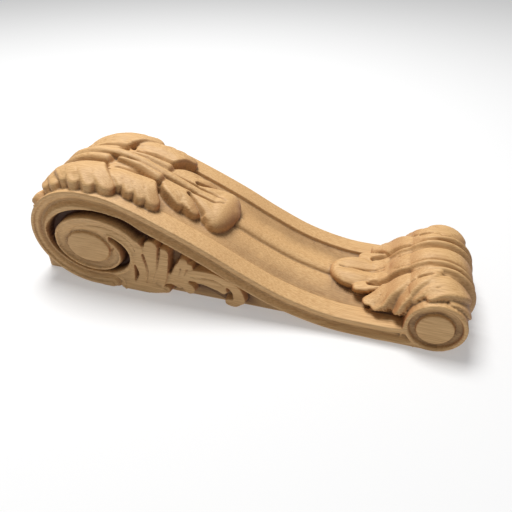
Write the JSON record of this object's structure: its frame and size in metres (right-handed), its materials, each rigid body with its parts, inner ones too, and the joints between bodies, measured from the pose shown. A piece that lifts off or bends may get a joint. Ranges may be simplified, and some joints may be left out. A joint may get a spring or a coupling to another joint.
{
  "type": "wooden corbel bracket",
  "caption": "Carved wooden corbel: scrolled S-shaped bracket with a large volute, acanthus leaves, fluted front and a small scroll at its foot.",
  "frame": {"origin": "centre of the flat back that goes against the wall", "axes": "+Z points away from the wall, X runs along the length with the shelf end at -X and the small scroll at +X, Y runs across the width"},
  "size_m": [0.3311, 0.1, 0.0951],
  "materials": {
    "oak": "unfinished, sanded, fine grain along the length"
  },
  "bodies": {
    "root": {"corbel_bracket": "oak"}
  },
  "joints": []
}
